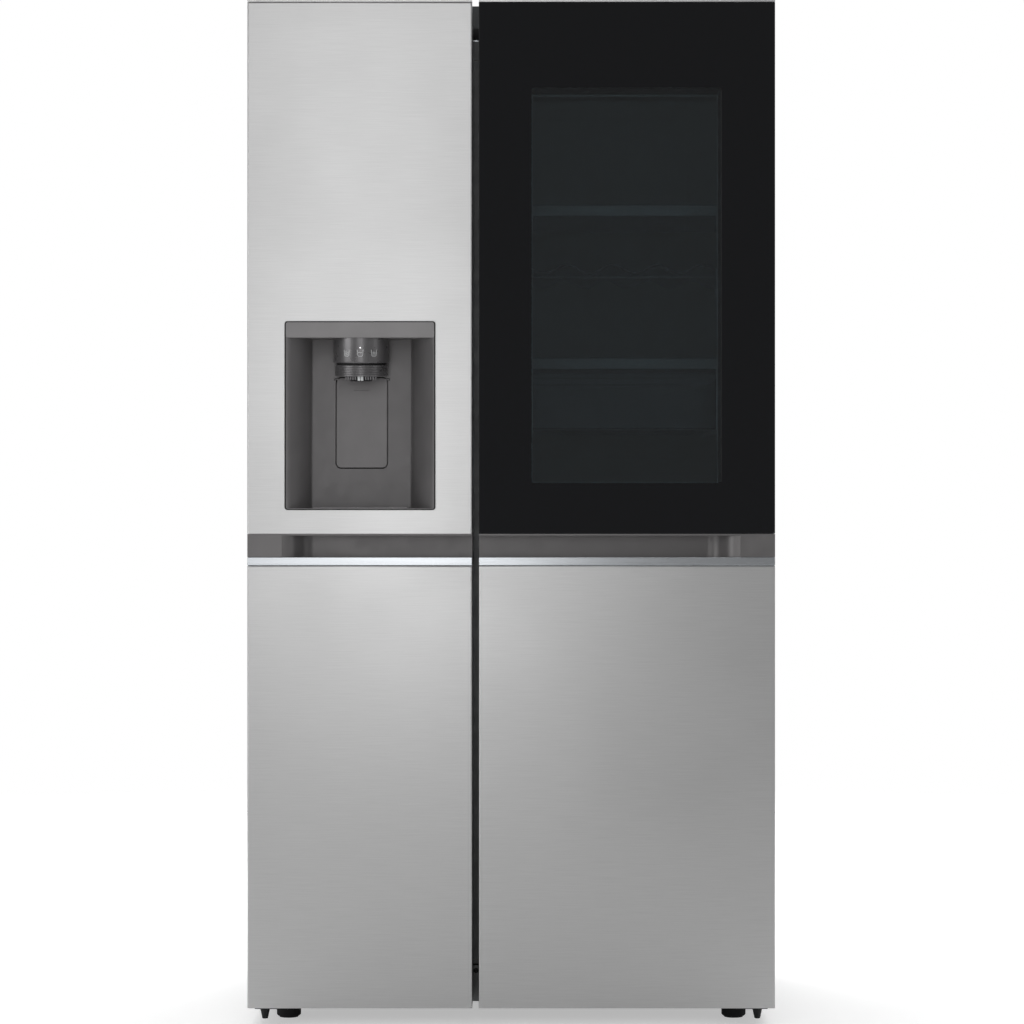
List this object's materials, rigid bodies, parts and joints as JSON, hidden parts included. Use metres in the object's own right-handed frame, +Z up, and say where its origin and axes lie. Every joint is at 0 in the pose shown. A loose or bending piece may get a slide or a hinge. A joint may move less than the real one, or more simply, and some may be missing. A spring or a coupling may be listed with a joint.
{
  "type": "side by side refrigerator",
  "caption": "Free-standing side by side refrigerator: tall freezer door with an ice and water dispenser, fridge door with a glass window, recessed handle grooves with a bright trim bar.",
  "frame": {"origin": "middle of the footprint of the whole box, on the floor", "axes": "+X to the right seen from the front, -Y towards the person in front of the doors, +Z up"},
  "size_m": [0.913, 0.735, 1.79],
  "materials": {
    "silver_paint": "satin metallic paint",
    "black_glass": "gloss, printed black from behind",
    "clear_glass": "clear",
    "chrome_trim": "polished",
    "groove_plastic": "satin",
    "dispenser_plastic": "satin metallic",
    "nozzle_plastic": "satin",
    "case_paint": "textured satin",
    "cover_plastic": "fine grain",
    "white_plastic": "satin",
    "clear_plastic": "clear",
    "foam": "open-cell rigid foam",
    "gasket_rubber": "matt",
    "black_rubber": "matt",
    "zinc_steel": "galvanised",
    "black_steel": "satin black",
    "aluminium": "bare"
  },
  "bodies": {
    "cabinet": {"cabinet_shell": "case_paint", "back_panel": "zinc_steel", "base_frame": "black_steel", "cabinet_foam": "foam", "freezer_liner": "white_plastic", "fridge_liner": "white_plastic", "mullion_bar": "case_paint", "top_cover": "cover_plastic", "upper_hinge_left": "zinc_steel", "upper_hinge_right": "zinc_steel", "lower_hinge_left": "black_steel", "lower_hinge_right": "black_steel", "machine_room_cover": "black_steel", "compressor": "black_steel", "condenser": "black_steel", "evaporator": "aluminium", "freezer_duct_cover": "white_plastic", "fridge_duct_cover": "white_plastic", "fridge_shelf_upper": "clear_glass", "fridge_shelf_middle": "clear_glass", "crisper_shelf": "clear_glass", "wine_rack": "clear_plastic", "freezer_shelf_upper": "clear_glass", "freezer_shelf_lower": "clear_glass"},
    "freezer_door": {"freezer_door_upper_panel": "silver_paint", "freezer_door_lower_panel": "silver_paint", "freezer_door_trim": "chrome_trim", "freezer_handle_pocket": "groove_plastic", "freezer_door_foam": "foam", "freezer_door_liner": "white_plastic", "freezer_door_gasket": "gasket_rubber", "ice_bin": "clear_plastic", "freezer_door_bin": "clear_plastic", "dispenser_housing": "dispenser_plastic", "dispenser_nozzle": "nozzle_plastic"},
    "fridge_door": {"fridge_door_glass": "black_glass", "fridge_door_frame": "black_steel", "fridge_window_pane": "clear_glass", "fridge_door_lower_panel": "silver_paint", "fridge_door_trim": "chrome_trim", "fridge_handle_pocket": "groove_plastic", "fridge_door_foam": "foam", "fridge_door_liner": "white_plastic", "fridge_door_rim": "white_plastic", "fridge_door_gasket": "gasket_rubber", "fridge_door_bin_upper": "clear_plastic", "fridge_door_bin_lower": "clear_plastic"},
    "levelling_foot_left": {"levelling_foot_left": "black_rubber"},
    "levelling_foot_right": {"levelling_foot_right": "black_rubber"},
    "rear_roller_left": {"rear_roller_left": "cover_plastic"},
    "rear_roller_right": {"rear_roller_right": "cover_plastic"},
    "evaporator_fan": {"evaporator_fan": "white_plastic"},
    "condenser_fan": {"condenser_fan": "black_steel"},
    "utility_box": {"utility_box": "clear_plastic"},
    "crisper_upper": {"crisper_upper": "clear_plastic"},
    "crisper_lower": {"crisper_lower": "clear_plastic"},
    "freezer_drawer_upper": {"freezer_drawer_upper": "clear_plastic"},
    "freezer_drawer_lower": {"freezer_drawer_lower": "clear_plastic"},
    "dispenser_pad": {"dispenser_pad": "dispenser_plastic"},
    "drip_tray": {"drip_tray": "nozzle_plastic"}
  },
  "joints": [
    {"name": "freezer_door_hinge", "type": "hinge", "parent": "cabinet", "child": "freezer_door", "pos_m": [-0.43, -0.31, 0.9], "axis": [0, 0, -1], "range_deg": [0, 110]},
    {"name": "fridge_door_hinge", "type": "hinge", "parent": "cabinet", "child": "fridge_door", "pos_m": [0.43, -0.31, 0.9], "axis": [0, 0, 1], "range_deg": [0, 110]},
    {"name": "dispenser_pad_tilt", "type": "hinge", "parent": "freezer_door", "child": "dispenser_pad", "pos_m": [-0.2615, -0.29401, 1.129], "axis": [1, 0, 0], "range_deg": [0, 4], "stiffness_Nm_per_rad": 0.6, "springref_deg": -8.59},
    {"name": "drip_tray_lift", "type": "slide", "parent": "freezer_door", "child": "drip_tray", "axis": [0, 0, 1], "range_m": [0, 0.04]},
    {"name": "levelling_foot_left_turn", "type": "hinge", "parent": "cabinet", "child": "levelling_foot_left", "pos_m": [-0.395, -0.215, 0.02], "axis": [0, 0, 1], "continuous": true},
    {"name": "levelling_foot_right_turn", "type": "hinge", "parent": "cabinet", "child": "levelling_foot_right", "pos_m": [0.395, -0.215, 0.02], "axis": [0, 0, 1], "continuous": true},
    {"name": "rear_roller_left_spin", "type": "hinge", "parent": "cabinet", "child": "rear_roller_left", "pos_m": [-0.4, 0.33, 0.02], "axis": [1, 0, 0], "continuous": true},
    {"name": "rear_roller_right_spin", "type": "hinge", "parent": "cabinet", "child": "rear_roller_right", "pos_m": [0.4, 0.33, 0.02], "axis": [1, 0, 0], "continuous": true},
    {"name": "evaporator_fan_spin", "type": "hinge", "parent": "cabinet", "child": "evaporator_fan", "pos_m": [-0.244, 0.253, 0.985], "axis": [0, 1, 0], "continuous": true},
    {"name": "condenser_fan_spin", "type": "hinge", "parent": "cabinet", "child": "condenser_fan", "pos_m": [-0.011, 0.272, 0.125], "axis": [1, 0, 0], "continuous": true},
    {"name": "utility_box_slide", "type": "slide", "parent": "cabinet", "child": "utility_box", "axis": [0, -1, 0], "range_m": [0, 0.24]},
    {"name": "crisper_upper_slide", "type": "slide", "parent": "cabinet", "child": "crisper_upper", "axis": [0, -1, 0], "range_m": [0, 0.24]},
    {"name": "crisper_lower_slide", "type": "slide", "parent": "cabinet", "child": "crisper_lower", "axis": [0, -1, 0], "range_m": [0, 0.24]},
    {"name": "freezer_drawer_upper_slide", "type": "slide", "parent": "cabinet", "child": "freezer_drawer_upper", "axis": [0, -1, 0], "range_m": [0, 0.24]},
    {"name": "freezer_drawer_lower_slide", "type": "slide", "parent": "cabinet", "child": "freezer_drawer_lower", "axis": [0, -1, 0], "range_m": [0, 0.24]}
  ],
  "couplings": [
    {"joint": "utility_box_slide", "follows": "fridge_door_hinge", "m_per_rad": 0.125},
    {"joint": "crisper_upper_slide", "follows": "fridge_door_hinge", "m_per_rad": 0.125},
    {"joint": "crisper_lower_slide", "follows": "fridge_door_hinge", "m_per_rad": 0.125},
    {"joint": "freezer_drawer_upper_slide", "follows": "freezer_door_hinge", "m_per_rad": 0.125},
    {"joint": "freezer_drawer_lower_slide", "follows": "freezer_door_hinge", "m_per_rad": 0.125}
  ]
}
